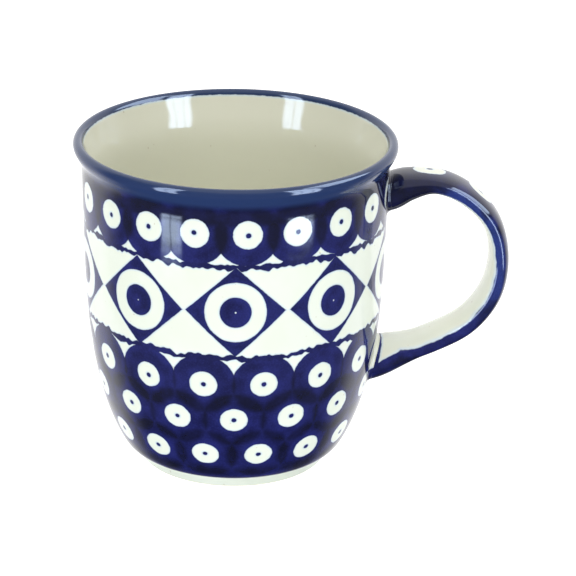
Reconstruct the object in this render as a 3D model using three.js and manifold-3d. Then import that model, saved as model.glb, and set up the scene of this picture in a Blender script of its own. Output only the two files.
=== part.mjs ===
// Stoneware mug with a strap handle. Millimetres, +Z up.
// The bowl's axis is Z and the mug stands on z = 0. The handle points along +X.
import * as THREE from "three";
import { LoftGeometry } from "three/addons/geometries/LoftGeometry.js";
import { mergeVertices } from "three/addons/utils/BufferGeometryUtils.js";
import Module from "manifold-3d";

const wasm = await Module();
wasm.setup();

// Bowl
const HEIGHT = 94.2;
const RIM_RADIUS = 45;
const RIM_FLARE = 2.4; // how far the rolled rim stands out from the neck
const RIM_ROLL = 5.2; // height of the rolled rim
const LIP_ROUND = 1.5; // radius of the rounded lip
const WALL = 4.4;
const FLOOR = 6.4;
const FOOT_RADIUS = 26.6;
const FOOT_RING = 3.6; // radial width of the ring the mug stands on
const FOOT_HEIGHT = 3.2;
const FOOT_BEVEL = 0.5;
const UNDERSIDE_RECESS = 0.8;
const HEEL_FLARE = 3.2; // how far the side springs out past the foot
const HEEL_RISE = 1; // height of that step above the foot
const INSIDE_CORNER = 9; // radius where the inside wall turns into the floor

// Curve of the side from heel to neck: share of the way out, share of the way up.
const SIDE_CURVE = [
  [0, 0],
  [0.14, 0.026],
  [0.352, 0.088],
  [0.555, 0.177],
  [0.73, 0.293],
  [0.863, 0.43],
  [0.934, 0.578],
  [0.968, 0.728],
  [0.99, 0.866],
];

// Handle
const HANDLE_REACH = 31.8; // from the neck to the middle of the strap at its furthest
const UPPER_JOINT_DROP = 15.4; // from the rim's top down to the middle of the upper joint
const LOWER_JOINT_HEIGHT = 28.3;
const STRAP_WIDTH = 14.8;
const STRAP_THICKNESS = 5.3;
const UPPER_FLARE = 4.2; // extra thickness where the strap meets the wall
const LOWER_FLARE = 4.6;
const END_WIDENING = 1.4;
const FLARE_LENGTH = 15;
const CORNER = 0.74; // 1 gives an oval strap section, 0 a square one

// Curve of the strap between its joints: share of the reach, share of the rise.
const STRAP_CURVE = [
  [0.17, 1.043],
  [0.4, 1.063],
  [0.67, 0.996],
  [0.91, 0.839],
  [0.995, 0.634],
  [0.945, 0.42],
  [0.745, 0.242],
  [0.43, 0.125],
];

// Joints: slip between the wall and each end of the strap
const SLIP_THICKNESS = 1.1;
const SLIP_SPREAD = 0.5; // how far the slip stands out around the strap
const CLEARANCE = 0.3; // gap between pieces that touch
const ROOT_DEPTH = 6; // how far a strap is drawn past the wall before it is cut off

// Facets
const AROUND = 80;
const SIDE_STEPS = 22;
const LIP_STEPS = 8;
const CORNER_STEPS = 6;
const STRAP_STEPS = 44;
const STRAP_AROUND = 24;

const HEEL_RADIUS = FOOT_RADIUS + HEEL_FLARE;
const HEEL_HEIGHT = FOOT_HEIGHT + HEEL_RISE;
const NECK_RADIUS = RIM_RADIUS - RIM_FLARE;
const ROLL_BASE = HEIGHT - LIP_ROUND - RIM_ROLL;
const NECK_HEIGHT = ROLL_BASE - RIM_ROLL * 0.2;
const UPPER_JOINT_HEIGHT = HEIGHT - UPPER_JOINT_DROP;
const COBALT = 0x2c315f;
const CREAM = 0xe9efe2;
const SLIP = 0xc9cdc0;

// Outer side of the bowl from the heel towards the neck, as a smooth curve.
const side = new THREE.SplineCurve(
  SIDE_CURVE.map(
    ([out, up]) =>
      new THREE.Vector2(
        THREE.MathUtils.lerp(HEEL_RADIUS, NECK_RADIUS, out),
        THREE.MathUtils.lerp(HEEL_HEIGHT, NECK_HEIGHT, up),
      ),
  ),
).getPoints(SIDE_STEPS);

// Radius of the outer wall at a height.
function wallRadius(z) {
  const above = side.findIndex((p) => p.y > z);
  if (above < 1) return above < 0 ? NECK_RADIUS : side[0].x;
  const low = side[above - 1];
  const high = side[above];
  return low.x + ((high.x - low.x) * (z - low.y)) / (high.y - low.y);
}

// Points of a quarter round from one angle to another about a centre.
function round(cx, cy, radius, from, to, steps) {
  const curve = new THREE.EllipseCurve(cx, cy, radius, radius, from, to, to < from);
  return curve.getPoints(steps);
}

// Outside of the bowl from the foot's bevel to just below the lip.
function outside(offset) {
  const points = [new THREE.Vector2(FOOT_RADIUS + offset, FOOT_BEVEL)];
  points.push(new THREE.Vector2(FOOT_RADIUS + offset, FOOT_HEIGHT));
  for (const p of side) points.push(new THREE.Vector2(p.x + offset, p.y));
  points.push(new THREE.Vector2(NECK_RADIUS + offset, NECK_HEIGHT));
  const roll = [
    [0.16, 0.2],
    [0.45, 0.45],
    [0.8, 0.75],
  ];
  for (const [out, up] of roll) {
    points.push(
      new THREE.Vector2(NECK_RADIUS + RIM_FLARE * out + offset, ROLL_BASE + RIM_ROLL * up),
    );
  }
  return points;
}

// Inside of the bowl from just below the lip down to the flat of the floor.
function inside() {
  const points = [];
  const mouth = RIM_RADIUS - 2 * LIP_ROUND;
  const straight = NECK_RADIUS - WALL;
  const flare = mouth - straight;
  points.push(new THREE.Vector2(straight + flare * 0.55, HEIGHT - LIP_ROUND - RIM_ROLL * 0.6));
  points.push(new THREE.Vector2(straight + flare * 0.12, HEIGHT - LIP_ROUND - RIM_ROLL * 1.5));
  const top = HEIGHT - LIP_ROUND - RIM_ROLL * 2.4;
  const turn = FLOOR + INSIDE_CORNER;
  const steps = 12;
  for (let i = 0; i <= steps; i++) {
    const z = top + ((turn - top) * i) / steps;
    points.push(new THREE.Vector2(wallRadius(z) - WALL, z));
  }
  const cx = wallRadius(turn) - WALL - INSIDE_CORNER;
  points.push(...round(cx, turn, INSIDE_CORNER, 0, -Math.PI / 2, CORNER_STEPS).slice(1));
  return points;
}

// Turned solid of a profile of radius and height.
function turned(points) {
  return new THREE.LatheGeometry(points, AROUND).rotateX(Math.PI / 2);
}

// The bowl: foot ring, wall, rolled rim and inside.
function bowl() {
  const ringInner = FOOT_RADIUS - FOOT_RING;
  const lip = round(
    RIM_RADIUS - LIP_ROUND,
    HEIGHT - LIP_ROUND,
    LIP_ROUND,
    0,
    Math.PI,
    LIP_STEPS,
  );
  return turned([
    new THREE.Vector2(0, UNDERSIDE_RECESS),
    new THREE.Vector2(ringInner - UNDERSIDE_RECESS, UNDERSIDE_RECESS),
    new THREE.Vector2(ringInner, 0),
    new THREE.Vector2(FOOT_RADIUS - FOOT_BEVEL, 0),
    ...outside(0),
    ...lip,
    ...inside(),
    new THREE.Vector2(0, FLOOR),
  ]);
}

// Solid block with the bowl's outer side, grown by an offset: what a strap's end is cut by.
function wallBlock(offset) {
  const points = outside(offset);
  const last = points[points.length - 1];
  return turned([
    new THREE.Vector2(0, points[0].y),
    ...points,
    new THREE.Vector2(last.x, HEIGHT),
    new THREE.Vector2(0, HEIGHT),
  ]);
}

// Middle line of the strap, drawn past the wall at both ends.
function strapLine() {
  const upper = UPPER_JOINT_HEIGHT;
  const lower = LOWER_JOINT_HEIGHT;
  const rise = 0.12; // slope of the ends where they leave the wall
  const points = [
    new THREE.Vector3(wallRadius(upper) - ROOT_DEPTH, 0, upper - rise * ROOT_DEPTH),
    new THREE.Vector3(wallRadius(upper), 0, upper),
  ];
  for (const [out, up] of STRAP_CURVE) {
    const height = THREE.MathUtils.lerp(lower, upper, up);
    points.push(new THREE.Vector3(NECK_RADIUS + out * HANDLE_REACH, 0, height));
  }
  points.push(new THREE.Vector3(wallRadius(lower), 0, lower));
  points.push(
    new THREE.Vector3(wallRadius(lower) - ROOT_DEPTH, 0, lower - 2.5 * rise * ROOT_DEPTH),
  );
  return new THREE.CatmullRomCurve3(points, false, "centripetal");
}

// How far the strap has flared at a distance from the wall: 1 at the wall, 0 along its middle.
function flared(distance) {
  const share = THREE.MathUtils.clamp(1 - distance / FLARE_LENGTH, 0, 1);
  return share * share * (3 - 2 * share);
}

// Strap of rounded section swept along its middle line, grown all round by a spread.
function strap(spread) {
  const line = strapLine();
  const sections = [];
  const across = new THREE.Vector3(0, 1, 0);
  const length = line.getLength();
  for (let i = 0; i <= STRAP_STEPS; i++) {
    const u = i / STRAP_STEPS;
    const centre = line.getPointAt(u);
    const outward = line.getTangentAt(u).cross(across).negate();
    const upper = flared(u * length - ROOT_DEPTH);
    const lower = flared((1 - u) * length - ROOT_DEPTH);
    const thick = STRAP_THICKNESS + UPPER_FLARE * upper + LOWER_FLARE * lower + 2 * spread;
    const wide = STRAP_WIDTH + END_WIDENING * (upper + lower) + 2 * spread;
    const ring = [];
    for (let k = 0; k < STRAP_AROUND; k++) {
      const angle = (2 * Math.PI * k) / STRAP_AROUND;
      const out = Math.sign(Math.cos(angle)) * Math.abs(Math.cos(angle)) ** CORNER;
      const along = Math.sign(Math.sin(angle)) * Math.abs(Math.sin(angle)) ** CORNER;
      ring.push(
        centre
          .clone()
          .addScaledVector(outward, (out * thick) / 2)
          .addScaledVector(across, (along * wide) / 2),
      );
    }
    sections.push(ring);
  }
  return new LoftGeometry(sections, { capStart: true, capEnd: true });
}

// A geometry as a solid that can be cut.
function solid(geometry) {
  const bare = geometry.index ? geometry.toNonIndexed() : geometry.clone();
  bare.deleteAttribute("normal");
  bare.deleteAttribute("uv");
  const merged = mergeVertices(bare, 1e-3);
  const made = new wasm.Manifold(
    new wasm.Mesh({
      numProp: 3,
      vertProperties: new Float32Array(merged.attributes.position.array),
      triVerts: new Uint32Array(merged.index.array),
    }),
  );
  return made;
}

// A solid back as a geometry with faceted shading.
function geometryOf(made) {
  const cut = made.getMesh();
  const geometry = new THREE.BufferGeometry();
  geometry.setAttribute("position", new THREE.BufferAttribute(cut.vertProperties, 3));
  geometry.setIndex(new THREE.BufferAttribute(cut.triVerts, 1));
  const flat = geometry.toNonIndexed();
  flat.computeVertexNormals();
  return flat;
}

// The largest of the bodies left by a cut.
function largest(made) {
  const bodies = made.decompose();
  return bodies.reduce((best, body) => (body.volume() > best.volume() ? body : best));
}

// A box that keeps only what is above or below the middle of the handle.
function half(upper) {
  const middle = (UPPER_JOINT_HEIGHT + LOWER_JOINT_HEIGHT) / 2;
  const reach = 4 * RIM_RADIUS;
  const box = new THREE.BoxGeometry(reach, reach, reach);
  return solid(box.translate(0, 0, middle + (upper ? reach : -reach) / 2));
}

// Slip between the wall and one end of the strap.
function slip(upper) {
  const spread = solid(strap(SLIP_SPREAD)).intersect(half(upper));
  const outer = solid(wallBlock(CLEARANCE + SLIP_THICKNESS));
  const inner = solid(wallBlock(CLEARANCE));
  return geometryOf(largest(spread.intersect(outer).subtract(inner)));
}

// The strap with both ends cut to the wall, clear of the slip.
function handle() {
  const block = solid(wallBlock(2 * CLEARANCE + SLIP_THICKNESS));
  return geometryOf(largest(solid(strap(0)).subtract(block)));
}

const mug = new THREE.Group();
mug.name = "mug";

function add(name, geometry, color, roughness) {
  const material = new THREE.MeshStandardMaterial({ color, roughness, metalness: 0 });
  const mesh = new THREE.Mesh(geometry, material);
  mesh.name = name;
  mug.add(mesh);
}

add("bowl", bowl(), CREAM, 0.12);
add("handle", handle(), COBALT, 0.12);
add("upper_handle_slip", slip(true), SLIP, 0.2);
add("lower_handle_slip", slip(false), SLIP, 0.2);

export default mug;
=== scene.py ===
"""Studio scene of a hand-stamped stoneware mug: a turned bowl, a strap handle and their slip joints."""

import logging
import math
from dataclasses import dataclass, field
from enum import Enum

import bpy
import numpy as np
from mathutils import Matrix, Vector

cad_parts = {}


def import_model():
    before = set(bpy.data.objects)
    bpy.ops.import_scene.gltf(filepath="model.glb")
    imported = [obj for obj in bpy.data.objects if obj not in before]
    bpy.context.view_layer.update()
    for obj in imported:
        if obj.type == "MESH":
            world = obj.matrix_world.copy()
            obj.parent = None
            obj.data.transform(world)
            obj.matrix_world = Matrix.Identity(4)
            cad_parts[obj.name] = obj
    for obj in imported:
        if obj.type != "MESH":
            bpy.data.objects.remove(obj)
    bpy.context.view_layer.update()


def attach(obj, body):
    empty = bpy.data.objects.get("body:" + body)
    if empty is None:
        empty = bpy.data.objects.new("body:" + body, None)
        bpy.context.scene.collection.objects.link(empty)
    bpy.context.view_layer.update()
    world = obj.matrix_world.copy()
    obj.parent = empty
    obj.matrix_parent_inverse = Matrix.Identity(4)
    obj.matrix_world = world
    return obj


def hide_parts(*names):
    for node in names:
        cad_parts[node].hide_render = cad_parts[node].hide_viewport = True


log = logging.getLogger("mug")

MM = 0.001
SIDE_SEED, RISE_SEED, SIZE_SEED, POINT_SEED = 0.37, 7.91, 3.3, 5.1

Point = tuple[float, float]
Span = tuple[float, float]  # where a soft step begins and ends
Colour = tuple[float, float, float]


def tint(red: int, green: int, blue: int) -> Colour:
    """Linear colour of a display colour.

    Args:
        red: red from 0 to 255.
        green: green from 0 to 255.
        blue: blue from 0 to 255.

    Returns:
        The three channels, linear, from 0 to 1.
    """

    def channel(value: int) -> float:
        """One channel made linear."""
        share = value / 255
        return share / 12.92 if share <= 0.04045 else ((share + 0.055) / 1.055) ** 2.4

    return channel(red), channel(green), channel(blue)


def smooth_path(points: list[Point], spacing: float) -> list[Point]:
    """Even points along a smooth curve through the given ones.

    Args:
        points: places that the curve passes through.
        spacing: distance between neighbouring points of the result.

    Returns:
        Points of a centripetal Catmull-Rom curve, the first and last ones kept.
    """
    fixed = [np.array(p, float) for p in points]
    fixed = [2 * fixed[0] - fixed[1], *fixed, 2 * fixed[-1] - fixed[-2]]
    path: list[Point] = []
    for a, b, c, d in zip(fixed, fixed[1:], fixed[2:], fixed[3:]):
        t0 = 0.0
        t1 = t0 + math.sqrt(float(np.linalg.norm(b - a)))
        t2 = t1 + math.sqrt(float(np.linalg.norm(c - b)))
        t3 = t2 + math.sqrt(float(np.linalg.norm(d - c)))
        count = max(1, round(float(np.linalg.norm(c - b)) / spacing))
        for t in np.linspace(t1, t2, count, endpoint=False):
            ab = (t1 - t) / (t1 - t0) * a + (t - t0) / (t1 - t0) * b
            bc = (t2 - t) / (t2 - t1) * b + (t - t1) / (t2 - t1) * c
            cd = (t3 - t) / (t3 - t2) * c + (t - t2) / (t3 - t2) * d
            abc = (t2 - t) / (t2 - t0) * ab + (t - t0) / (t2 - t0) * bc
            bcd = (t3 - t) / (t3 - t1) * bc + (t - t1) / (t3 - t1) * cd
            at = (t2 - t) / (t2 - t1) * abc + (t - t1) / (t2 - t1) * bcd
            path.append((float(at[0]), float(at[1])))
    path.append((float(fixed[-2][0]), float(fixed[-2][1])))
    return path


def deselect() -> None:
    """Leaves object mode with nothing selected."""
    if bpy.context.object and bpy.context.object.mode != "OBJECT":
        bpy.ops.object.mode_set(mode="OBJECT")
    bpy.ops.object.select_all(action="DESELECT")


def single_point(name: str, place: Vector) -> bpy.types.Object:
    """A new mesh of one vertex, left in edit mode with the vertex selected.

    Args:
        name: name of the object.
        place: where the vertex is.

    Returns:
        The new object.
    """
    deselect()
    bpy.ops.mesh.primitive_plane_add(size=MM, location=(0, 0, 0))
    made = bpy.context.object
    made.name = name
    bpy.ops.object.mode_set(mode="EDIT")
    bpy.ops.mesh.select_all(action="SELECT")
    bpy.ops.mesh.merge(type="CENTER")
    bpy.ops.transform.translate(value=place)
    return made


def tidy_shell(made: bpy.types.Object, gap: float = 0.02 * MM) -> None:
    """Merges doubled vertices, turns the faces outwards and smooths the shading.

    Args:
        made: the object, which becomes the active one.
        gap: vertices closer than this are merged.
    """
    deselect()
    bpy.context.view_layer.objects.active = made
    made.select_set(True)
    bpy.ops.object.mode_set(mode="EDIT")
    bpy.ops.mesh.select_all(action="SELECT")
    bpy.ops.mesh.remove_doubles(threshold=gap)
    bpy.ops.mesh.normals_make_consistent(inside=False)
    bpy.ops.object.mode_set(mode="OBJECT")
    bpy.ops.object.shade_smooth()


def note(made: bpy.types.Object, name: str, values: np.ndarray) -> None:
    """Stores a number or a vector for each vertex.

    Args:
        made: the object.
        name: name of the attribute.
        values: one number, or one row of three, for each vertex.
    """
    kind = "FLOAT_VECTOR" if values.ndim == 2 else "FLOAT"
    layer = made.data.attributes.new(name, kind, "POINT")
    layer.data.foreach_set("vector" if values.ndim == 2 else "value", values.ravel())


def vertices(made: bpy.types.Object) -> np.ndarray:
    """Places of an object's vertices.

    Args:
        made: the object.

    Returns:
        One row of x, y and z for each vertex, in metres.
    """
    flat = np.empty(len(made.data.vertices) * 3)
    made.data.vertices.foreach_get("co", flat)
    return flat.reshape(-1, 3)


def new_material(made: bpy.types.Object, name: str) -> bpy.types.NodeTree:
    """Gives a piece a new node material.

    Args:
        made: the piece.
        name: name of the material.

    Returns:
        The material's node tree.
    """
    material = bpy.data.materials.new(name)
    material.use_nodes = True
    made.data.materials.clear()
    made.data.materials.append(material)
    return material.node_tree


@dataclass(frozen=True)
class Grain:
    """Noise with lumps of one size."""

    size: float  # mm from lump to lump
    detail: float = 2.0  # finer layers on top of the lumps
    height: float = 1.0  # from its lowest to its highest


@dataclass(frozen=True)
class Field:
    """A number that varies over a surface, wired from shader nodes."""

    tree: bpy.types.NodeTree
    socket: bpy.types.NodeSocket

    def math(self, operation: str, *others: "Field | float", clamp: bool = False) -> "Field":
        """This number joined with others by a Math node.

        Args:
            operation: the node's operation.
            others: second and third operands.
            clamp: keeps the result between 0 and 1.

        Returns:
            The result.
        """
        node = self.tree.nodes.new("ShaderNodeMath")
        node.operation = operation
        node.use_clamp = clamp
        self.tree.links.new(self.socket, node.inputs[0])
        for at, other in enumerate(others, 1):
            if isinstance(other, Field):
                self.tree.links.new(other.socket, node.inputs[at])
            else:
                node.inputs[at].default_value = other
        return Field(self.tree, node.outputs[0])

    def __add__(self, other: "Field | float") -> "Field":
        """Sum."""
        return self.math("ADD", other)

    def __sub__(self, other: "Field | float") -> "Field":
        """Difference."""
        return self.math("SUBTRACT", other)

    def __mul__(self, other: "Field | float") -> "Field":
        """Product."""
        return self.math("MULTIPLY", other)

    def __neg__(self) -> "Field":
        """Opposite."""
        return self.math("MULTIPLY", -1.0)

    def __abs__(self) -> "Field":
        """Size without its sign."""
        return self.math("ABSOLUTE")

    def low(self, other: "Field | float") -> "Field":
        """The smaller of the two."""
        return self.math("MINIMUM", other)

    def high(self, other: "Field | float") -> "Field":
        """The larger of the two."""
        return self.math("MAXIMUM", other)

    def length(self, other: "Field") -> "Field":
        """Length of the vector with these two sides."""
        return (self * self + other * other).math("SQRT")

    def step(self, start: float, end: float, low: float = 0.0, high: float = 1.0) -> "Field":
        """A smooth step from one value to another.

        Args:
            start: where the step begins.
            end: where it ends, which may be below the start.
            low: value at the start.
            high: value at the end.

        Returns:
            The stepped number.
        """
        node = self.tree.nodes.new("ShaderNodeMapRange")
        node.interpolation_type = "SMOOTHSTEP"
        self.tree.links.new(self.socket, node.inputs["Value"])
        if start > end:
            start, end, low, high = end, start, high, low
        node.inputs["From Min"].default_value = start
        node.inputs["From Max"].default_value = end
        node.inputs["To Min"].default_value = low
        node.inputs["To Max"].default_value = high
        return Field(self.tree, node.outputs["Result"])

    def within(self, soft: float) -> "Field":
        """1 where a signed distance is inside its outline, 0 outside, with a soft edge."""
        return self.step(soft, -soft)


@dataclass(frozen=True)
class Palette:
    """Colours wired from shader nodes."""

    tree: bpy.types.NodeTree

    def mix(
        self, share: Field, low: "bpy.types.NodeSocket | Colour", high: "bpy.types.NodeSocket | Colour"
    ) -> bpy.types.NodeSocket:
        """A colour between two others.

        Args:
            share: 0 gives the first colour and 1 the second.
            low: the first colour.
            high: the second colour.

        Returns:
            The mixed colour's socket.
        """
        node = self.tree.nodes.new("ShaderNodeMix")
        node.data_type = "RGBA"
        self.tree.links.new(share.socket, node.inputs["Factor"])
        for at, colour in ((6, low), (7, high)):
            if isinstance(colour, tuple):
                node.inputs[at].default_value = (*colour, 1.0)
            else:
                self.tree.links.new(colour, node.inputs[at])
        return node.outputs[2]


class Surface:
    """Places on a piece, in millimetres, and noise that is fixed to it."""

    def __init__(self, tree: bpy.types.NodeTree) -> None:
        """Starts from the piece's own coordinates.

        Args:
            tree: node tree of the piece's material.
        """
        self.tree = tree
        place = tree.nodes.new("ShaderNodeTexCoord").outputs["Object"]
        scaled = tree.nodes.new("ShaderNodeVectorMath")
        scaled.operation = "SCALE"
        scaled.inputs["Scale"].default_value = 1 / MM
        tree.links.new(place, scaled.inputs[0])
        self.place = scaled.outputs["Vector"]
        self.x, self.y, self.z = self.split(self.place)

    def split(self, vector: bpy.types.NodeSocket) -> tuple[Field, Field, Field]:
        """Takes a vector apart.

        Args:
            vector: the vector's socket.

        Returns:
            Its three parts.
        """
        node = self.tree.nodes.new("ShaderNodeSeparateXYZ")
        self.tree.links.new(vector, node.inputs[0])
        return tuple(Field(self.tree, out) for out in node.outputs)

    def attribute(self, name: str) -> bpy.types.ShaderNodeAttribute:
        """Reads one of the piece's stored values.

        Args:
            name: name that it was stored under.

        Returns:
            The node that reads it.
        """
        node = self.tree.nodes.new("ShaderNodeAttribute")
        node.attribute_name = name
        return node

    def noise(self, grain: Grain, vector: "bpy.types.NodeSocket | None" = None) -> Field:
        """Noise about zero.

        Args:
            grain: its lumps.
            vector: coordinates in millimetres, the piece's own when left out.

        Returns:
            The noise.
        """
        node = self.tree.nodes.new("ShaderNodeTexNoise")
        node.inputs["Scale"].default_value = 1 / grain.size
        node.inputs["Detail"].default_value = grain.detail
        self.tree.links.new(vector or self.place, node.inputs["Vector"])
        return (Field(self.tree, node.outputs["Fac"]) - 0.5) * grain.height

    def chance(self, index: Field, seed: float) -> Field:
        """A number from -0.5 to 0.5 that is fixed for each index.

        Args:
            index: which number is wanted.
            seed: which row of numbers it is taken from.

        Returns:
            The number.
        """
        node = self.tree.nodes.new("ShaderNodeTexWhiteNoise")
        node.noise_dimensions = "1D"
        self.tree.links.new((index + seed).socket, node.inputs["W"])
        return Field(self.tree, node.outputs["Value"]) - 0.5


@dataclass(frozen=True)
class StampRow:
    """One row of stamps round the bowl."""

    count: int
    start: float  # degrees round the bowl to the middle of one stamp
    height: float  # mm
    slope: float = 1.0  # length along the wall for each unit of height
    seed: float = 0.0
    gather: float = 0.0  # draws the stamps in towards the front
    drift: float = 0.5  # mm that a stamp may be off its place


@dataclass(frozen=True)
class StampSizes:
    """Sizes of the decorator's sponges, in millimetres."""

    disc: float = 9.0
    pale: float = 4.1
    point: float = 0.72
    diamond_width: float = 14.15
    diamond_height: float = 13.1
    ring_outer: float = 8.65
    ring_inner: float = 4.45
    spark: float = 0.2  # pinhole in the middle of a diamond
    eye_spread: float = 0.3  # how much one eye's size differs from another's
    point_spread: float = 0.5  # how far the dark point may be off the middle
    eye_tear: float = 0.42  # share of the tear in each printed edge
    next_tear: float = 0.45
    point_tear: float = 0.5
    diamond_tear: float = 0.3
    ring_tear: float = 0.25
    next_soft: float = 0.9  # mm over which the overlap with the next eye fades
    next_share: float = 0.85  # how much of a second coat the overlap is


@dataclass(frozen=True)
class GlazeFinish:
    """Clear gloss glaze over cobalt decoration on a pale ground."""

    ground: Colour = tint(230, 237, 227)
    deep_ground: Colour = tint(226, 234, 220)
    inside: Colour = tint(221, 221, 203)
    halo: Colour = tint(186, 208, 232)
    cobalt: Colour = tint(21, 24, 66)
    cobalt_bright: Colour = tint(38, 43, 110)
    # paler blue of thin cobalt, also painted sheen standing in for the reflection on the strap's sides
    cobalt_thin_and_sheen: Colour = tint(42, 60, 126)
    # dark blue of overlapping coats, also used as painted shade under the rim and at the strap's upper
    # joint
    overlap: Colour = tint(18, 20, 40)
    slate: Colour = tint(36, 53, 94)
    crest: Colour = tint(42, 58, 92)
    speck: Colour = tint(172, 156, 130)
    bare_clay: Colour = tint(222, 210, 184)
    roughness: float = 0.07
    bare_roughness: float = 0.62
    ior: float = 1.47
    edge: float = 0.13  # mm over which a printed edge softens
    halo_width: float = 0.7  # mm that the cobalt bleeds into the glaze
    halo_tear: float = 0.5
    halo_share: float = 0.6
    tear: Grain = Grain(1.9, 3.0)  # raggedness of a sponged edge
    fine_tear: Grain = Grain(0.7, 2.0, 0.35)
    mottle: Grain = Grain(5.5, 3.0)  # clouds in the cobalt
    mottle_span: Span = (-0.2, 0.22)
    mottle_share: float = 0.5
    speckle: Grain = Grain(0.5)  # fine grains in the cobalt
    speckle_span: Span = (-0.12, 0.3)
    speckle_share: float = 0.3
    pooling: Span = (-0.2, -2.6)  # mm inside an edge over which the cobalt pools and darkens
    pooling_share: float = 0.25
    least_bright: float = 0.28
    # how much thin cobalt and painted sheen brighten the strap's sides
    thin_and_sheen_by_speckle: float = 0.5
    thin_and_sheen_share: float = 0.6
    # how much second coats and painted shade darken the cobalt
    second_and_shade_by_mottle: float = -0.3
    second_and_shade_share: float = 1.1
    warmth: Grain = Grain(11.0)  # slow change of the ground's colour
    warmth_span: Span = (-0.3, 0.3)
    warm_share: float = 0.3  # on a piece without a lip
    warm_least: float = 0.6
    slate_edge: Span = (-8.2, -5.4)  # mm past the top of the lip where the cobalt turns slate
    crest_edge: Span = (-2.6, -0.6)
    inside_edge: Span = (0.0, 3.5)
    specks: Grain = Grain(1.3, 0.0)  # iron specks in the clay
    specks_span: Span = (0.33, 0.4)
    specks_share: float = 0.45
    wave: Grain = Grain(7.0, 1.0, 0.05)  # slow ripple of the glaze, mm high
    peel: Grain = Grain(1.1, 2.0, 0.003)  # fine ripple of the glaze
    tooth: Grain = Grain(0.35, 3.0, 0.12)  # roughness of the bare clay


@dataclass
class Coats:
    """What lies on a place of the surface."""

    cobalt: Field  # signed distance to the cobalt, negative inside it
    second: Field  # how much of a second coat there is, with painted shade added under the bowl's rim and near the strap's upper joint
    thin: "Field | None" = None  # how thin the first coat is, and painted sheen: brighter blue standing in for the reflection on the strap's sides


class Decoration:
    """Stamped and brushed cobalt decoration, as distances and colours in a node tree."""

    def __init__(self, tree: bpy.types.NodeTree, finish: GlazeFinish, sizes: StampSizes) -> None:
        """Starts the decoration on a piece's surface.

        Args:
            tree: node tree of the piece's material.
            finish: glaze and colours.
            sizes: sizes of the sponges.
        """
        self.tree = tree
        self.finish = finish
        self.sizes = sizes
        self.on = Surface(tree)
        self.paint = Palette(tree)
        self.ragged = self.on.noise(finish.tear) + self.on.noise(finish.fine_tear)

    def eye(self, near: Field, point: Field, coats: Coats, worn: float = 0.0) -> None:
        """Prints a pale ring and its dark point into the cobalt laid so far.

        Args:
            near: distance from the stamp's middle.
            point: distance from the dark point's middle.
            coats: the coats laid so far, which are changed.
            worn: how much smaller the pale ring is than a new sponge's.
        """
        pale = near - self.sizes.pale + worn
        coats.cobalt = coats.cobalt.high(-pale).low(point - self.sizes.point)

    def colours(self, coats: Coats, edge: "Field | None" = None) -> bpy.types.NodeSocket:
        """Colours of the ground, the halo and the cobalt.

        Args:
            coats: the coats laid on the ground.
            edge: distance past the top of the lip, on a piece that has one.

        Returns:
            The colour's socket.
        """
        finish = self.finish
        mix = self.paint.mix
        mottle = self.on.noise(finish.mottle).step(*finish.mottle_span)
        speckle = self.on.noise(finish.speckle).step(*finish.speckle_span)
        pooled = coats.cobalt.step(*finish.pooling) * finish.pooling_share
        bright = mottle * finish.mottle_share + speckle * finish.speckle_share
        bright = bright - pooled + finish.least_bright
        cobalt = mix(bright, finish.cobalt, finish.cobalt_bright)
        # Thin cobalt, also painted sheen: brighter blue for the reflection on the strap's sides.
        if coats.thin is not None:
            thin = coats.thin * (speckle * finish.thin_and_sheen_by_speckle + finish.thin_and_sheen_share)
            cobalt = mix(thin, cobalt, finish.cobalt_thin_and_sheen)
        # Second coats darken the cobalt, and so does the painted shade carried with them.
        second = coats.second * (mottle * finish.second_and_shade_by_mottle + finish.second_and_shade_share)
        cobalt = mix(second, cobalt, finish.overlap)
        warm = self.on.noise(finish.warmth).step(*finish.warmth_span)
        ground = mix(warm, finish.ground, finish.deep_ground)
        if edge is None:
            ground = mix(warm * finish.warm_share + finish.warm_least, ground, finish.inside)
        else:
            cobalt = mix(edge.step(*finish.slate_edge), cobalt, finish.slate)
            cobalt = mix(edge.step(*finish.crest_edge), cobalt, finish.crest)
            ground = mix(edge.step(*finish.inside_edge), ground, finish.inside)
        specks = self.on.noise(finish.specks).step(*finish.specks_span) * finish.specks_share
        ground = mix(specks, ground, finish.speck)
        bleed = coats.cobalt.step(finish.halo_width, 0.0)
        bleed = bleed * (self.ragged * finish.halo_tear + finish.halo_share)
        ground = mix(bleed, ground, finish.halo)
        return mix(coats.cobalt.within(finish.edge), ground, cobalt)

    def glaze(self, colour: bpy.types.NodeSocket, bare: "Field | None" = None) -> None:
        """Wires the glaze over a colour.

        Args:
            colour: colour under the glaze.
            bare: 1 where the clay is left bare, 0 where it is glazed.
        """
        shader = self.tree.nodes["Principled BSDF"]
        shader.inputs["IOR"].default_value = self.finish.ior
        shader.inputs["Roughness"].default_value = self.finish.roughness
        ripple = self.on.noise(self.finish.wave) + self.on.noise(self.finish.peel)
        if bare is not None:
            colour = self.paint.mix(bare, colour, self.finish.bare_clay)
            dull = bare.step(0.0, 1.0, self.finish.roughness, self.finish.bare_roughness)
            self.tree.links.new(dull.socket, shader.inputs["Roughness"])
            ripple = ripple + self.on.noise(self.finish.tooth) * bare
        bump = self.tree.nodes.new("ShaderNodeBump")
        bump.inputs["Distance"].default_value = MM
        self.tree.links.new(ripple.socket, bump.inputs["Height"])
        self.tree.links.new(bump.outputs["Normal"], shader.inputs["Normal"])
        self.tree.links.new(colour, shader.inputs["Base Color"])


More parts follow.
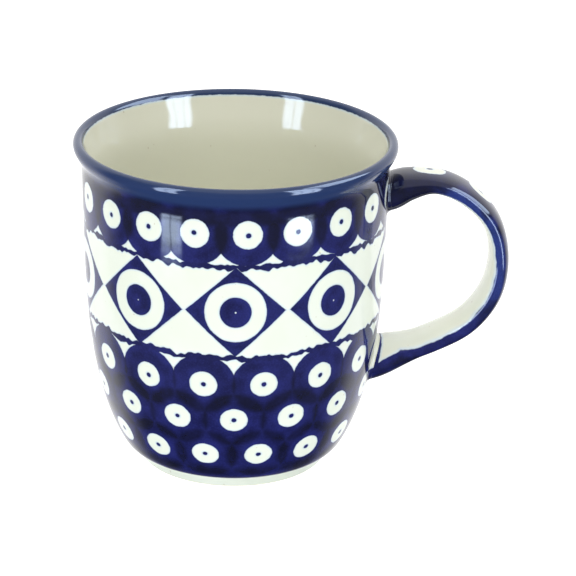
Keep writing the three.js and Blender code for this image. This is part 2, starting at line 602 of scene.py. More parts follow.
@dataclass(frozen=True)
class BowlScheme:
    """Where the rows, lines and bands of the bowl's decoration lie, in millimetres and degrees."""

    top: StampRow = StampRow(19, -142.3, 81.0, seed=1, gather=0.03)
    middle: StampRow = StampRow(9, -129.3, 58.8, seed=2, drift=0.25, gather=0.045)
    lower: tuple[StampRow, ...] = (
        StampRow(15, -149.8, 36.9, 1.03, seed=3, gather=0.05),
        StampRow(15, -137.5, 25.7, 1.07, seed=4, gather=0.04),
        StampRow(15, -126.4, 13.7, 1.1, seed=5, gather=0.04),
    )
    upper_line: float = 72.0
    lower_line: float = 45.3
    line_thickness: float = 1.55
    neck_band: float = 84.9
    heel_band: float = 9.0
    worn: float = 0.22  # how much smaller the lower rows' pale rings have worn
    spread: float = 0.2  # how far the lower rows' discs have spread
    neck_tear: float = 0.6
    neck_soft: float = 1.4
    neck_share: float = 0.8
    row_soft: float = 1.2
    shade_below: Span = (82.4, 84.6)  # painted shade: heights between which the cobalt under the rim is painted darker
    shade_above: Span = (88.4, 86.2)
    shade_share: float = 0.8
    heel_tear: float = 0.8
    heel_soft: float = 1.6
    lower_soft: float = 1.1
    lower_share: float = 0.85
    line_tear: float = 0.15
    line_soft: float = 0.3
    line_share: float = 0.25
    line_sway: Grain = Grain(13.0, 1.0, 1.6)
    line_hop: Grain = Grain(2.0, 0.0, 1.5)
    line_press: Grain = Grain(1.5, 0.0, 2.8)  # change of the line's thickness
    upper_seed: float = 11.0
    lower_seed: float = 23.0
    foot_edge: float = 3.75  # the foot is pale below this
    past_lip: float = 1.9  # how far inside the lip the rim's band ends
    lip_tear: float = 0.5
    bare_below: float = 0.3


class BowlDecoration(Decoration):
    """The bowl's rows of eyes, its diamonds, lines and bands."""

    def __init__(self, tree: bpy.types.NodeTree, finish: GlazeFinish, scheme: BowlScheme) -> None:
        """Starts the decoration with the bowl's scheme.

        Args:
            tree: node tree of the bowl's material.
            finish: glaze and colours.
            scheme: where the decoration lies.
        """
        super().__init__(tree, finish, StampSizes())
        self.scheme = scheme
        self.turn = self.on.y.math("ARCTAN2", self.on.x)
        self.radius = self.on.x.length(self.on.y)

    def places(self, row: StampRow) -> tuple[Field, Field, Field, Field]:
        """Where a point lies from the nearest stamp of a row.

        Args:
            row: the row of stamps.

        Returns:
            Distance round the bowl and up the wall from the nearest stamp's middle, distance round
            the bowl from the next one, and the stamp's own number.
        """
        count = (self.turn - math.radians(row.start)) * (row.count / math.tau)
        count = count - self.turn.math("COSINE") * -row.gather
        index = (count + 0.5).math("FLOOR")
        pitch = self.radius * (math.tau / row.count)
        along = (count - index) * pitch
        own = index.math("FLOORED_MODULO", float(row.count))
        side = self.on.chance(own, row.seed + SIDE_SEED)
        rise = self.on.chance(own, row.seed + RISE_SEED)
        across = along - side * row.drift
        up = (self.on.z - row.height) * row.slope - rise * row.drift
        return across, up, pitch - abs(along), own

    def eyes(self, row: StampRow) -> tuple[Coats, Field, Field]:
        """A row of overlapping eyes.

        Args:
            row: the row.

        Returns:
            Its coats, and distances from the nearest eye's middle and from its dark point.
        """
        sizes = self.sizes
        across, up, beyond, own = self.places(row)
        size = self.on.chance(own, row.seed + SIZE_SEED) * sizes.eye_spread
        near = across.length(up) + self.ragged * sizes.eye_tear + size
        following = beyond.length(up) + self.ragged * sizes.next_tear
        off = self.on.chance(own, row.seed + POINT_SEED) * sizes.point_spread
        point = (across - off).length(up + off) + self.ragged * sizes.point_tear
        second = (following - sizes.disc).within(sizes.next_soft) * sizes.next_share
        return Coats(near - sizes.disc, second), near, point

    def diamonds(self, row: StampRow) -> Field:
        """A row of diamonds with pale rings.

        Args:
            row: the row.

        Returns:
            Signed distance to the cobalt.
        """
        across, up, _, _ = self.places(row)
        sizes = self.sizes
        wide, tall = 1 / sizes.diamond_width, 1 / sizes.diamond_height
        outline = (abs(across) * wide + abs(up) * tall - 1.0) * (1 / math.hypot(wide, tall))
        outline = outline + self.ragged * sizes.diamond_tear
        middle = across.length(up) + self.ragged * sizes.ring_tear
        ring = (middle - sizes.ring_outer).high(-(middle - sizes.ring_inner))
        return outline.high(-ring).high(-(middle - sizes.spark))

    def line(self, height: float, seed: float) -> Field:
        """A thin line brushed round the bowl by hand.

        Args:
            height: its mean height.
            seed: shifts its wobble.

        Returns:
            Signed distance to the line.
        """
        scheme = self.scheme
        flat = self.tree.nodes.new("ShaderNodeCombineXYZ")
        self.tree.links.new(self.on.x.socket, flat.inputs[0])
        self.tree.links.new(self.on.y.socket, flat.inputs[1])
        flat.inputs[2].default_value = seed
        sway = self.on.noise(scheme.line_sway, flat.outputs[0])
        hop = self.on.noise(scheme.line_hop, flat.outputs[0])
        press = self.on.noise(scheme.line_press, flat.outputs[0])
        away = abs(self.on.z - height + sway + hop)
        return away - (press + scheme.line_thickness) * 0.5 + self.ragged * scheme.line_tear

    def lay(self) -> None:
        """Lays every coat of the bowl and glazes it."""
        scheme = self.scheme
        top, top_near, top_point = self.eyes(scheme.top)
        neck = -(self.on.z - scheme.neck_band) + self.ragged * scheme.neck_tear
        shared = top.cobalt.within(scheme.row_soft) * neck.within(scheme.neck_soft) * scheme.neck_share
        # Painted shade: a band under the rim is darkened the way a second coat is.
        shade = self.on.z.step(*scheme.shade_below) * self.on.z.step(*scheme.shade_above)
        second = top.second.high(shared).high(shade * scheme.shade_share)
        coats = Coats(top.cobalt.low(neck), second)
        self.eye(top_near, top_point, coats)
        heel = self.on.z - scheme.heel_band + self.ragged * scheme.heel_tear
        covered = heel.within(scheme.heel_soft)
        lower = Coats(heel, covered * 0.0)
        printed = []
        for row in scheme.lower:
            own, near, point = self.eyes(row)
            own.cobalt = own.cobalt - scheme.spread
            covered = covered + own.cobalt.within(scheme.lower_soft)
            lower = Coats(lower.cobalt.low(own.cobalt), lower.second.high(own.second))
            printed.append((near, point))
        twice = (covered - 1.0).math("MULTIPLY", scheme.lower_share, clamp=True)
        lower.second = lower.second.high(twice)
        for near, point in printed:
            self.eye(near, point, lower, scheme.worn)
        lines = self.line(scheme.upper_line, scheme.upper_seed)
        lines = lines.low(self.line(scheme.lower_line, scheme.lower_seed))
        middle = self.diamonds(scheme.middle)
        coats.cobalt = coats.cobalt.low(lower.cobalt).low(lines).low(middle)
        brushed = lines.within(scheme.line_soft) * scheme.line_share
        coats.second = coats.second.high(lower.second).high(brushed)
        lip = Field(self.tree, self.on.attribute("past_lip").outputs["Fac"])
        inner = lip - scheme.past_lip + self.ragged * scheme.lip_tear
        bounds = inner.high(-(self.on.z - scheme.foot_edge))
        coats.cobalt = coats.cobalt.high(bounds)
        bare = self.on.z.step(scheme.bare_below, scheme.bare_below * 0.5)
        self.glaze(self.colours(coats, lip), bare)


@dataclass(frozen=True)
class StrapScheme:
    """Where the strap's decoration lies, in millimetres."""

    length: float
    first_eye: float = 12.0
    pitch: float = 14.3
    off_centre: float = 1.5
    clear_end: float = 9.0  # no eye is stamped nearer to a joint than this
    pale: float = 3.9  # radius of an eye's pale ring
    eye_tear: float = 0.5
    eye_depth: float = 3.3  # the eyes are printed no deeper round the sides than this
    unprinted: float = 50.0  # puts an eye out of reach
    pale_depth: float = 1.45  # how far round from the inner face the sides are left pale
    pale_upper: float = -0.5  # how much less that is near the upper joint
    pale_lower: float = 3.3  # how much more near the lower joint
    pale_run: float = 8.0
    face_tear: float = 0.3
    sway: Grain = Grain(9.0, 2.0, 0.9)  # wander of the pale face's edge
    quiver: Grain = Grain(2.2, 1.0, 0.4)
    thick_and_shade_run: float = 19.0  # length of the heavy coat at the upper joint, also painted darker there as shade standing in for the dark reflection
    thick_and_shade_share: float = 0.9
    slant: tuple[float, float, float] = (2.5, -0.525, -0.0137)  # the lower joint's line on the strap
    stroke_from_wall: float = 1.8  # a thin stroke along the lower joint
    stroke_half: float = 0.4
    stroke_taper: float = 0.04
    stroke_tear: float = 0.5
    next_soft: float = 1.2
    next_share: float = 0.8
    cloud: Grain = Grain(6.0)  # patches of heavier cobalt
    cloud_by_face: float = -0.06
    cloud_span: Span = (0.0, 0.3)
    cloud_share: float = 0.75
    # where the sides get thin cobalt and painted sheen: by depth, and before the lower end
    thin_and_sheen_depth: Span = (4.4, 3.2)
    thin_and_sheen_before_end: Span = (26.0, 52.0)


class StrapDecoration(Decoration):
    """Cobalt over the strap's outer face and sides with one row of eyes; its inner face is left pale."""

    def __init__(self, tree: bpy.types.NodeTree, finish: GlazeFinish, scheme: StrapScheme) -> None:
        """Starts the decoration with the strap's scheme."""
        super().__init__(tree, finish, StampSizes(pale=scheme.pale))
        self.scheme = scheme

    def lay(self) -> None:
        """Lays every coat of the strap and glazes it."""
        scheme = self.scheme
        along, across, depth = self.on.split(self.on.attribute("strap").outputs["Vector"])
        count = (along - scheme.first_eye) * (1 / scheme.pitch)
        step = (count - (count + 0.5).math("FLOOR")) * scheme.pitch
        side = across - scheme.off_centre
        near = step.length(side) + self.ragged * scheme.eye_tear
        beyond = (-abs(step) + scheme.pitch).length(side)
        mark = (along - step - scheme.length / 2).math("ABSOLUTE")
        unmarked = mark.math("GREATER_THAN", scheme.length / 2 - scheme.clear_end)
        behind = (depth.math("LESS_THAN", scheme.eye_depth) + unmarked) * scheme.unprinted
        at_inner, by_depth, by_side = scheme.slant
        joint = depth * by_depth + across * across * by_side + at_inner
        from_wall = -along + scheme.length - joint
        lower = from_wall.math("MULTIPLY_ADD", -1 / scheme.pale_run, 1.0, clamp=True)
        upper = along.step(scheme.thick_and_shade_run, scheme.thick_and_shade_run * 0.5)
        pale = lower * scheme.pale_lower + upper * scheme.pale_upper + scheme.pale_depth
        sway = self.on.noise(scheme.sway) + self.on.noise(scheme.quiver)
        face = pale - depth + sway + self.ragged * scheme.face_tear
        stroke = abs(from_wall - scheme.stroke_from_wall) - scheme.stroke_half
        stroke = stroke + across * scheme.stroke_taper + self.ragged * scheme.stroke_tear
        second = (beyond - self.sizes.disc).within(scheme.next_soft) * scheme.next_share
        cloud = self.on.noise(scheme.cloud) + face * scheme.cloud_by_face
        cloud = cloud.step(*scheme.cloud_span) * scheme.cloud_share
        # The heavy coat near the upper joint also paints shade there.
        second = second.high(upper * scheme.thick_and_shade_share).high(cloud)
        start, end = (scheme.length - run for run in scheme.thin_and_sheen_before_end)
        # Thin cobalt on the sides, also painted sheen for their reflection.
        thin = depth.step(*scheme.thin_and_sheen_depth) * (upper * -1.0 + 1.0) * along.step(start, end)
        coats = Coats(face.low(stroke), second, thin)
        self.eye(near + behind, near + behind, coats)
        self.glaze(self.colours(coats))


@dataclass
class Bowl:
    """The turned bowl: foot ring, belly, rolled rim and inside, one fired piece."""

    name: str = "glazed_bowl"
    around: int = 192
    fine: float = 0.9  # mm between the outline's points
    fine_rim: float = 0.45  # shares of that where the outline bends more, or less
    fine_foot: float = 0.5
    fine_base: float = 1.5
    base: tuple[Point, ...] = (
        (0, 0.8),
        (7, 0.8),
        (14, 0.8),
        (20.5, 0.8),
        (21.8, 0.72),
        (22.6, 0.3),
        (23.3, 0),
    )
    ring: tuple[Point, ...] = ((23.3, 0), (24.6, 0), (25.9, 0))
    foot: tuple[Point, ...] = ((25.9, 0), (26.4, 0.16), (26.6, 0.6), (26.66, 1.7), (26.9, 2.7))
    belly: tuple[Point, ...] = (
        (26.9, 2.7),
        (27.85, 3.35),
        (29.2, 3.85),
        (30.5, 4.7),
        (31.8, 6.4),
        (34.3, 11.5),
        (36.9, 18.8),
        (39.15, 28.3),
        (40.85, 39.6),
        (41.75, 51.8),
        (42.18, 64.1),
        (42.45, 75.4),
        (42.6, 84.0),
    )
    rim: tuple[Point, ...] = (
        (42.6, 84.0),
        (42.7, 86.4),
        (42.98, 88.0),
        (43.6, 89.5),
        (44.4, 90.8),
        (44.93, 92.1),
        (44.85, 93.2),
        (44.2, 94.0),
        (43.3, 94.2),
        (42.5, 93.75),
        (42.0, 92.8),
    )
    inside: tuple[Point, ...] = (
        (42.0, 92.8),
        (41.4, 90.9),
        (40.5, 88.4),
        (39.4, 85.2),
        (38.6, 81.0),
        (38.15, 74.0),
        (37.8, 62.0),
        (37.25, 50.0),
        (36.2, 38.0),
        (34.6, 27.5),
        (32.6, 19.0),
        (30.3, 13.3),
        (27.0, 9.3),
        (22.6, 7.1),
        (17.5, 6.4),
    )
    floor: tuple[Point, ...] = ((17.5, 6.4), (12, 6.4), (6, 6.4), (0, 6.4))
    scheme: BowlScheme = field(default_factory=BowlScheme)

    def outline(self) -> list[Point]:
        """Joins the parts of the outline.

        Returns:
            Points from the middle underneath to the middle of the floor, in millimetres.
        """
        points: list[Point] = []
        share = {self.rim: self.fine_rim, self.foot: self.fine_foot, self.base: self.fine_base}
        for part in (self.base, self.ring, self.foot, self.belly, self.rim, self.inside, self.floor):
            points.extend(smooth_path(list(part), self.fine * share.get(part, 1.0))[:-1])
        return [*points, self.floor[-1]]

    def __post_init__(self) -> None:
        """Works out the wall's outer line."""
        self.wall = np.array(smooth_path([*self.belly, *self.rim[1:5]], self.fine))

    def wall_radius(self, height: float) -> float:
        """Outer radius at a height, in millimetres."""
        return float(np.interp(height, self.wall[:, 1], self.wall[:, 0]))

    def build(self) -> bpy.types.Object:
        """Turns the outline about the bowl's axis.

        Returns:
            The bowl.
        """
        points = self.outline()
        made = single_point(self.name, Vector((points[0][0] * MM, 0, points[0][1] * MM)))
        for (r0, z0), (r1, z1) in zip(points, points[1:]):
            step = ((r1 - r0) * MM, 0, (z1 - z0) * MM)
            bpy.ops.mesh.extrude_region_move(TRANSFORM_OT_translate={"value": step})
        bpy.ops.mesh.select_all(action="SELECT")
        bpy.ops.mesh.spin(steps=self.around, angle=math.tau, center=(0, 0, 0), axis=(0, 0, 1))
        tidy_shell(made)
        self.mark_lip(made, points)
        return made

    def mark_lip(self, made: bpy.types.Object, points: list[Point]) -> None:
        """Stores how far each vertex lies past the top of the lip, along the outline.

        Args:
            made: the bowl.
            points: its outline.
        """
        line = np.array(points)
        run = np.concatenate(([0], np.cumsum(np.hypot(*np.diff(line, axis=0).T))))
        run -= run[line[:, 1].argmax()]
        places = vertices(made) / MM
        flat = np.stack((np.hypot(places[:, 0], places[:, 1]), places[:, 2]), 1)
        kinds, kind = np.unique(flat.round(2), axis=0, return_inverse=True)
        nearest = ((kinds[:, None] - line[None]) ** 2).sum(2).argmin(1)
        note(made, "past_lip", run[nearest][kind.ravel()])

    def dress(self, made: bpy.types.Object, finish: GlazeFinish) -> None:
        """Decorates and glazes the bowl."""
        tree = new_material(made, "stamped_glaze_bowl")
        BowlDecoration(tree, finish, self.scheme).lay()


@dataclass
class Strap:
    """The strap handle, swept along its line and flared where it meets the wall."""

    bowl: Bowl
    name: str = "glazed_handle"
    upper_height: float = 78.8
    lower_height: float = 28.3
    neck_radius: float = 42.6
    reach: float = 31.8
    width: float = 14.8
    thickness: float = 5.3
    upper_flare: float = 4.2
    lower_flare: float = 4.6
    end_widening: float = 1.4
    flare_length: float = 15.0
    swell: float = 1.0  # how much fuller the inner face is along the lower half
    swell_run: Span = (0.3, 0.62)
    corner: float = 0.85  # 1 gives an oval section, less gives squarer edges
    stations: int = 150
    around: int = 56
    root: float = 2.6  # how far the strap runs on into the wall
    buried: float = 6.0  # how far the middle line does
    upper_drop: float = 0.72
    lower_drop: float = 1.8
    line_step: float = 0.4
    tangent_reach: float = 0.5
    curve: tuple[Point, ...] = (
        (0.17, 1.043),
        (0.4, 1.063),
        (0.67, 0.996),
        (0.91, 0.839),
        (0.995, 0.634),
        (0.945, 0.42),
        (0.745, 0.242),
        (0.43, 0.125),
    )

    def __post_init__(self) -> None:
        """Works out the strap's middle line between its joints."""
        top = self.bowl.wall_radius(self.upper_height)
        foot = self.bowl.wall_radius(self.lower_height)
        rise = self.upper_height - self.lower_height
        line = [(top - self.buried, self.upper_height - self.upper_drop), (top, self.upper_height)]
        for out, up in self.curve:
            line.append((self.neck_radius + out * self.reach, self.lower_height + up * rise))
        line += [(foot, self.lower_height), (foot - self.buried, self.lower_height - self.lower_drop)]
        self.line = np.array(smooth_path(line, self.line_step))
        run = np.concatenate(([0], np.cumsum(np.hypot(*np.diff(self.line, axis=0).T))))
        start = run[np.hypot(*(self.line - line[1]).T).argmin()]
        end = run[np.hypot(*(self.line - line[-2]).T).argmin()]
        self.run = run - start
        self.length = float(end - start)

    def middle(self, along: np.ndarray) -> np.ndarray:
        """Places on the strap's middle line, as rows of distance from the bowl's axis and height."""
        return np.stack([np.interp(along, self.run, self.line[:, k]) for k in (0, 1)], 1)

    def surface(
        self, along: np.ndarray, angle: np.ndarray, grow: float = 0.0
    ) -> tuple[np.ndarray, np.ndarray]:
        """Places on the strap's skin.

        Args:
            along: distance along the middle line from the upper joint.
            angle: angle round the section, 0 on the outer face.
            grow: how far outside the skin.

        Returns:
            Places in millimetres, and the same places on the strap laid straight.
        """
        centre = self.middle(along)
        ahead = self.middle(along + self.tangent_reach)
        behind = self.middle(along - self.tangent_reach)
        tangent = (ahead - behind) / np.linalg.norm(ahead - behind, axis=1)[:, None]
        upper = self.flared(along)
        lower = self.flared(self.length - along)
        thick = self.thickness + self.upper_flare * upper + self.lower_flare * lower
        wide = self.width + self.end_widening * (upper + lower)
        out = np.sign(np.cos(angle)) * np.abs(np.cos(angle)) ** self.corner * (thick / 2 + grow)
        side = np.sign(np.sin(angle)) * np.abs(np.sin(angle)) ** self.corner * (wide / 2 + grow)
        first, last = self.swell_run
        share = np.clip((along / self.length - first) / (last - first), 0, 1)
        fuller = self.swell * share * share * (3 - 2 * share) * np.clip(-np.cos(angle), 0, 1)
        x = centre[:, 0] - tangent[:, 1] * (out - fuller)
        z = centre[:, 1] + tangent[:, 0] * (out - fuller)
        return np.stack((x, side, z), 1), np.stack((along, side, out + thick / 2), 1)

    def flared(self, distance: np.ndarray) -> np.ndarray:
        """How far the strap has flared at a distance from the wall, 1 at the wall."""
        share = np.clip(1 - distance / self.flare_length, 0, 1)
        return share * share * (3 - 2 * share)

    def build(self) -> bpy.types.Object:
        """Sweeps the strap's section along its line.

        Returns:
            The strap.
        """
        deselect()
        bpy.ops.mesh.primitive_circle_add(
            vertices=self.around, radius=MM, fill_type="NGON", location=(0, 0, 0)
        )
        made = bpy.context.object
        made.name = self.name
        bpy.ops.object.mode_set(mode="EDIT")
        bpy.ops.mesh.select_all(action="SELECT")
        for _ in range(self.stations):
            bpy.ops.mesh.extrude_region_move(TRANSFORM_OT_translate={"value": (0, 0, MM)})
        bpy.ops.object.mode_set(mode="OBJECT")
        places = vertices(made) / MM
        share = places[:, 2] / self.stations
        along = share * (self.length + 2 * self.root) - self.root
        angle = np.arctan2(places[:, 1], places[:, 0])
        skin, straight = self.surface(along, angle)
        made.data.vertices.foreach_set("co", (skin * MM).ravel())
        note(made, "strap", straight)
        tidy_shell(made)
        return made

    def dress(self, made: bpy.types.Object, finish: GlazeFinish) -> None:
        """Decorates and glazes the strap."""
        tree = new_material(made, "stamped_glaze_" + made.name)
        StrapDecoration(tree, finish, StrapScheme(self.length)).lay()


class End(Enum):
    """The strap's two ends."""

    UPPER = "upper"
    LOWER = "lower"


@dataclass
class Slip:
    """The fillet of slip that joins one end of the strap to the wall."""

    strap: Strap
    end: End
    along_strap: float = 1.2
    along_wall: float = 1.3
    sunk: float = 0.5  # how far its hidden faces lie under the skin
    lift: float = 0.02  # how far its foot lies above the wall
    around: int = 96
    steps: int = 10
    weld: float = 0.001
    search: Span = (-4.0, 6.0)  # where the skin is looked for along the strap, from the joint's middle
    halvings: int = 40

    def reach(self, distance: float) -> float:
        """Distance along the strap's line of a point this far from the wall."""
        return distance if self.end is End.UPPER else self.strap.length - distance

    def at_wall(self, angle: float) -> float:
        """Finds where the strap's skin meets the wall.

        Args:
            angle: angle round the strap's section.

        Returns:
            Distance of that place along the strap, from the joint's middle.
        """
        low, high = self.search
        for _ in range(self.halvings):
            middle = (low + high) / 2
            place, _ = self.strap.surface(np.array([self.reach(middle)]), np.array([angle]))
            outside = math.hypot(place[0, 0], place[0, 1]) > self.strap.bowl.wall_radius(place[0, 2])
            low, high = (low, middle) if outside else (middle, high)
        return (low + high) / 2

    def on_wall(self, place: np.ndarray, depth: float) -> np.ndarray:
        """A place moved to the wall's surface, or to a depth under it."""
        radius = self.strap.bowl.wall_radius(float(place[2])) - depth
        return np.array([*(place[:2] / np.linalg.norm(place[:2]) * radius), place[2]])

    def section(self, angle: float) -> tuple[list[np.ndarray], list[np.ndarray]]:
        """Places of the fillet's closed section at an angle round the strap.

        Args:
            angle: angle round the strap's section.

        Returns:
            Places in millimetres, and the same places on the strap laid straight.
        """
        meet = self.at_wall(angle)
        turn = np.array([angle])
        corner, flat = self.strap.surface(np.array([self.reach(meet)]), turn)
        start, _ = self.strap.surface(np.array([self.reach(meet + self.along_strap)]), turn)
        under, _ = self.strap.surface(np.array([self.reach(meet + self.along_strap)]), turn, -self.sunk)
        middle, _ = self.strap.surface(np.array([self.reach(meet)]), turn, -self.sunk)
        spread = corner[0] - middle[0]
        spread = spread / max(np.linalg.norm(spread), 1e-6)
        foot = self.on_wall(corner[0] + spread * self.along_wall, -self.lift)
        places = []
        for share in np.linspace(0, 1, self.steps + 1):
            inner = start[0] * (1 - share) + corner[0] * share
            outer = corner[0] * (1 - share) + foot * share
            places.append(inner * (1 - share) + outer * share)
        places.append(self.on_wall(foot, self.sunk))
        places.append(self.on_wall(middle[0], self.sunk))
        places.append(under[0])
        return places, [flat[0]] * len(places)

    def build(self) -> bpy.types.Object:
        """Makes the fillet as a closed ring.

        Returns:
            The fillet.
        """
        name = f"{self.end.value}_slip_fillet"
        deselect()
        bpy.ops.mesh.primitive_torus_add(
            major_segments=self.around,
            minor_segments=self.steps + 4,
            major_radius=4 * MM,
            minor_radius=MM,
        )
        made = bpy.context.object
        made.name = name
        angles = np.linspace(0, math.tau, self.around, endpoint=False)
        rings = [self.section(float(angle)) for angle in angles]
        skin = np.array([places for places, _ in rings]).reshape(-1, 3)
        straight = np.array([flat for _, flat in rings]).reshape(-1, 3)
        made.data.vertices.foreach_set("co", (skin * MM).ravel())
        note(made, "strap", straight)
        tidy_shell(made, self.weld * MM)
        return made

    def dress(self, made: bpy.types.Object, finish: GlazeFinish) -> None:
        """Decorates and glazes the fillet as the strap is."""
        self.strap.dress(made, finish)


@dataclass(frozen=True)
class Window:
    """A tall window that only the glaze mirrors."""

    first: float  # degrees from straight in front, positive to the right
    last: float
    bottom: float
    top: float
    strength: float
    distance: float
    panes: int = 2
    colour: Colour = (0.62, 0.76, 1.0)
    side_fade: float = 0.16  # share of the width over which its sides fade
    end_fade: float = 0.03  # the same for its top and bottom
    bar_width: float = 0.12
    bar_glow: float = 0.35

    def hang(self, name: str) -> None:
        """Places the window's light.

        Args:
            name: name of the light.
        """
        middle = math.radians((self.first + self.last) / 2)
        half = math.radians((self.last - self.first) / 2)
        data = bpy.data.lights.new(name, "AREA")
        data.shape = "RECTANGLE"
        data.color = self.colour
        data.size = 2 * self.distance * math.tan(half)
        data.size_y = self.top - self.bottom
        data.energy = self.strength * math.pi * data.size * data.size_y
        lamp = bpy.data.objects.new(name, data)
        bpy.context.scene.collection.objects.link(lamp)
        height = (self.top + self.bottom) / 2
        lamp.location = (self.distance * math.sin(middle), -self.distance * math.cos(middle), height)
        inward = Vector((-math.sin(middle), math.cos(middle), 0))
        lamp.rotation_euler = inward.to_track_quat("-Z", "Y").to_euler()
        lamp.visible_camera = False
        lamp.visible_diffuse = False
        self.frame(data)

    def frame(self, data: bpy.types.AreaLight) -> None:
        """Softens the window's borders and darkens its bars.

        Args:
            data: the window's light.
        """
        data.use_nodes = True
        tree = data.node_tree
        spot = tree.nodes.new("ShaderNodeSeparateXYZ")
        tree.links.new(tree.nodes.new("ShaderNodeNewGeometry").outputs["Parametric"], spot.inputs[0])
        across, up = Field(tree, spot.outputs[0]), Field(tree, spot.outputs[1])
        glow = across.step(0.0, self.side_fade) * across.step(1.0, 1.0 - self.side_fade)
        glow = glow * up.step(0.0, self.end_fade) * up.step(1.0, 1.0 - self.end_fade)
        pane = (across * float(self.panes)).math("FRACT")
        left = pane.step(0.0, self.bar_width, self.bar_glow, 1.0)
        bar = left.low(pane.step(1.0, 1.0 - self.bar_width, self.bar_glow, 1.0))
        tree.links.new((glow * bar).socket, tree.nodes["Emission"].inputs["Strength"])


@dataclass(frozen=True)
class Softbox:
    """A softbox aimed at the mug, which the glaze doesn't mirror."""

    name: str
    place: tuple[float, float, float]
    size: float
    power: float  # watts

    def hang(self) -> None:
        """Places the softbox's light."""
        data = bpy.data.lights.new(self.name, "AREA")
        data.size = self.size
        data.energy = self.power
        lamp = bpy.data.objects.new(self.name, data)
        bpy.context.scene.collection.objects.link(lamp)
        lamp.location = self.place
        lamp.rotation_euler = (-lamp.location).to_track_quat("-Z", "Y").to_euler()
        lamp.visible_camera = False
        lamp.visible_glossy = False


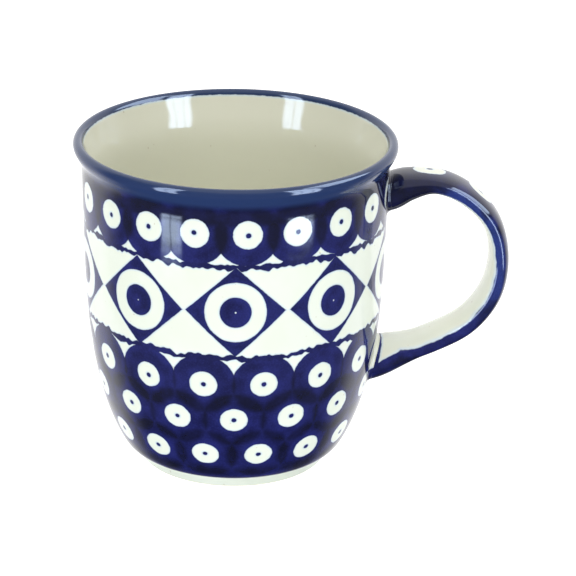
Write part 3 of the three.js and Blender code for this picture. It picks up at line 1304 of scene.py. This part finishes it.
@dataclass
class Studio:
    """Pale floor, soft light, mirrored windows and the camera."""

    camera_place: Vector = field(default_factory=lambda: Vector((0, -0.7328, 0.3408)))
    camera_aim: Vector = field(default_factory=lambda: Vector((0.0151, 0, 0.0494)))
    camera_roll: float = 1.02
    lens: float = 174.8
    sensor_width: float = 36.0
    clip: Span = (0.01, 50.0)
    floor_size: float = 8.0
    floor_grey: float = 0.5
    floor_roughness: float = 0.9
    floor_glow: float = 0.93
    wall_radius: float = 3.9
    wall_height: float = 9.0
    ahead: float = 0.16  # brightness of the sky in front of the mug
    behind: float = 1.25
    back_span: Span = (0.06, 0.52)
    overhead: float = 0.9
    overhead_span: Span = (0.5, 0.85)
    below_span: Span = (-0.8, -0.55)
    below_share: float = 0.12
    softboxes: tuple[Softbox, ...] = (
        Softbox("front_softbox", (-0.35, -1.3, 0.36), 1.3, 8.3),
        Softbox("overhead_softbox", (0.25, -0.3, 1.3), 1.2, 9.5),
    )
    windows: tuple[Window, ...] = (
        Window(-57.0, -38.0, -0.29, 1.0, 13.0, 0.85, 2),
        Window(36.5, 59.5, -0.12, 0.6, 15.0, 0.5, 3),
        Window(60.0, 112.0, 0.36, 1.3, 11.0, 0.8, 1),
    )

    def paint(self, made: bpy.types.Object, grey: float, glow: float) -> None:
        """Paints a part of the studio white, and keeps it out of the glaze's reflections.

        Args:
            made: the part.
            grey: its own colour.
            glow: how strongly it shines white.
        """
        made.visible_glossy = False
        shader = new_material(made, made.name + "_white").nodes["Principled BSDF"]
        shader.inputs["Base Color"].default_value = (grey, grey, grey, 1)
        shader.inputs["Roughness"].default_value = self.floor_roughness
        shader.inputs["Specular IOR Level"].default_value = 0.0
        shader.inputs["Emission Color"].default_value = (1, 1, 1, 1)
        shader.inputs["Emission Strength"].default_value = glow

    def floor(self) -> None:
        """Lays the floor."""
        deselect()
        bpy.ops.mesh.primitive_grid_add(
            x_subdivisions=8, y_subdivisions=8, size=self.floor_size, location=(0, 0, 0)
        )
        made = bpy.context.object
        made.name = "studio_floor"
        self.paint(made, self.floor_grey, self.floor_glow)

    def backdrop(self) -> None:
        """Stands a white wall round the floor, which sheds no light on the mug."""
        deselect()
        bpy.ops.mesh.primitive_cylinder_add(
            vertices=96, radius=self.wall_radius, depth=self.wall_height, end_fill_type="NOTHING"
        )
        made = bpy.context.object
        made.name = "studio_backdrop"
        made.visible_diffuse = False
        made.visible_shadow = False
        self.paint(made, 0.0, 1.0)

    def sky(self) -> None:
        """Surrounds the mug, dim in front, bright behind and overhead."""
        world = bpy.data.worlds.new("studio_sky")
        bpy.context.scene.world = world
        world.use_nodes = True
        tree = world.node_tree
        place = tree.nodes.new("ShaderNodeTexCoord").outputs["Generated"]
        split = tree.nodes.new("ShaderNodeSeparateXYZ")
        tree.links.new(place, split.inputs[0])
        back = Field(tree, split.outputs["Y"]).step(*self.back_span, self.ahead, self.behind)
        height = Field(tree, split.outputs["Z"])
        back = back * height.step(*self.below_span, self.below_share, 1.0)
        up = height.step(*self.overhead_span, 0.0, self.overhead)
        tree.links.new(back.high(up).socket, tree.nodes["Background"].inputs["Color"])

    def light(self) -> None:
        """Sets the sky, the softboxes and the windows."""
        self.sky()
        for softbox in self.softboxes:
            softbox.hang()
        for at, window in enumerate(self.windows):
            window.hang(f"window_{at}")

    def camera(self) -> None:
        """Places the camera."""
        data = bpy.data.cameras.new("studio_camera")
        data.lens = self.lens
        data.sensor_width = self.sensor_width
        data.clip_start, data.clip_end = self.clip
        made = bpy.data.objects.new("studio_camera", data)
        bpy.context.scene.collection.objects.link(made)
        made.location = self.camera_place
        aim = (self.camera_aim - self.camera_place).to_track_quat("-Z", "Y")
        roll = Matrix.Rotation(math.radians(self.camera_roll), 4, "Z").to_quaternion()
        made.rotation_mode = "QUATERNION"
        made.rotation_quaternion = aim @ roll
        bpy.context.scene.camera = made
        bpy.context.scene.view_settings.view_transform = "Standard"


def adopt(made: bpy.types.Object, node: str) -> None:
    """Puts a finished piece on the mug's one body in the place of its plain solid.

    Args:
        made: the piece.
        node: the solid's name.
    """
    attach(made, "root")
    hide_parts(node)
    log.info("%s: %d faces, stands for %s", made.name, len(made.data.polygons), node)


def main() -> None:
    """Builds the mug piece by piece, then the studio round it."""
    logging.basicConfig(level=logging.INFO, format="%(name)s: %(message)s")
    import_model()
    finish = GlazeFinish()
    bowl = Bowl()
    made = bowl.build()
    bowl.dress(made, finish)
    adopt(made, "bowl")
    strap = Strap(bowl)
    made = strap.build()
    strap.dress(made, finish)
    adopt(made, "handle")
    for end in End:
        slip = Slip(strap, end)
        made = slip.build()
        slip.dress(made, finish)
        adopt(made, f"{end.value}_handle_slip")
    studio = Studio()
    studio.floor()
    studio.backdrop()
    studio.light()
    studio.camera()


if __name__ == "__main__":
    main()
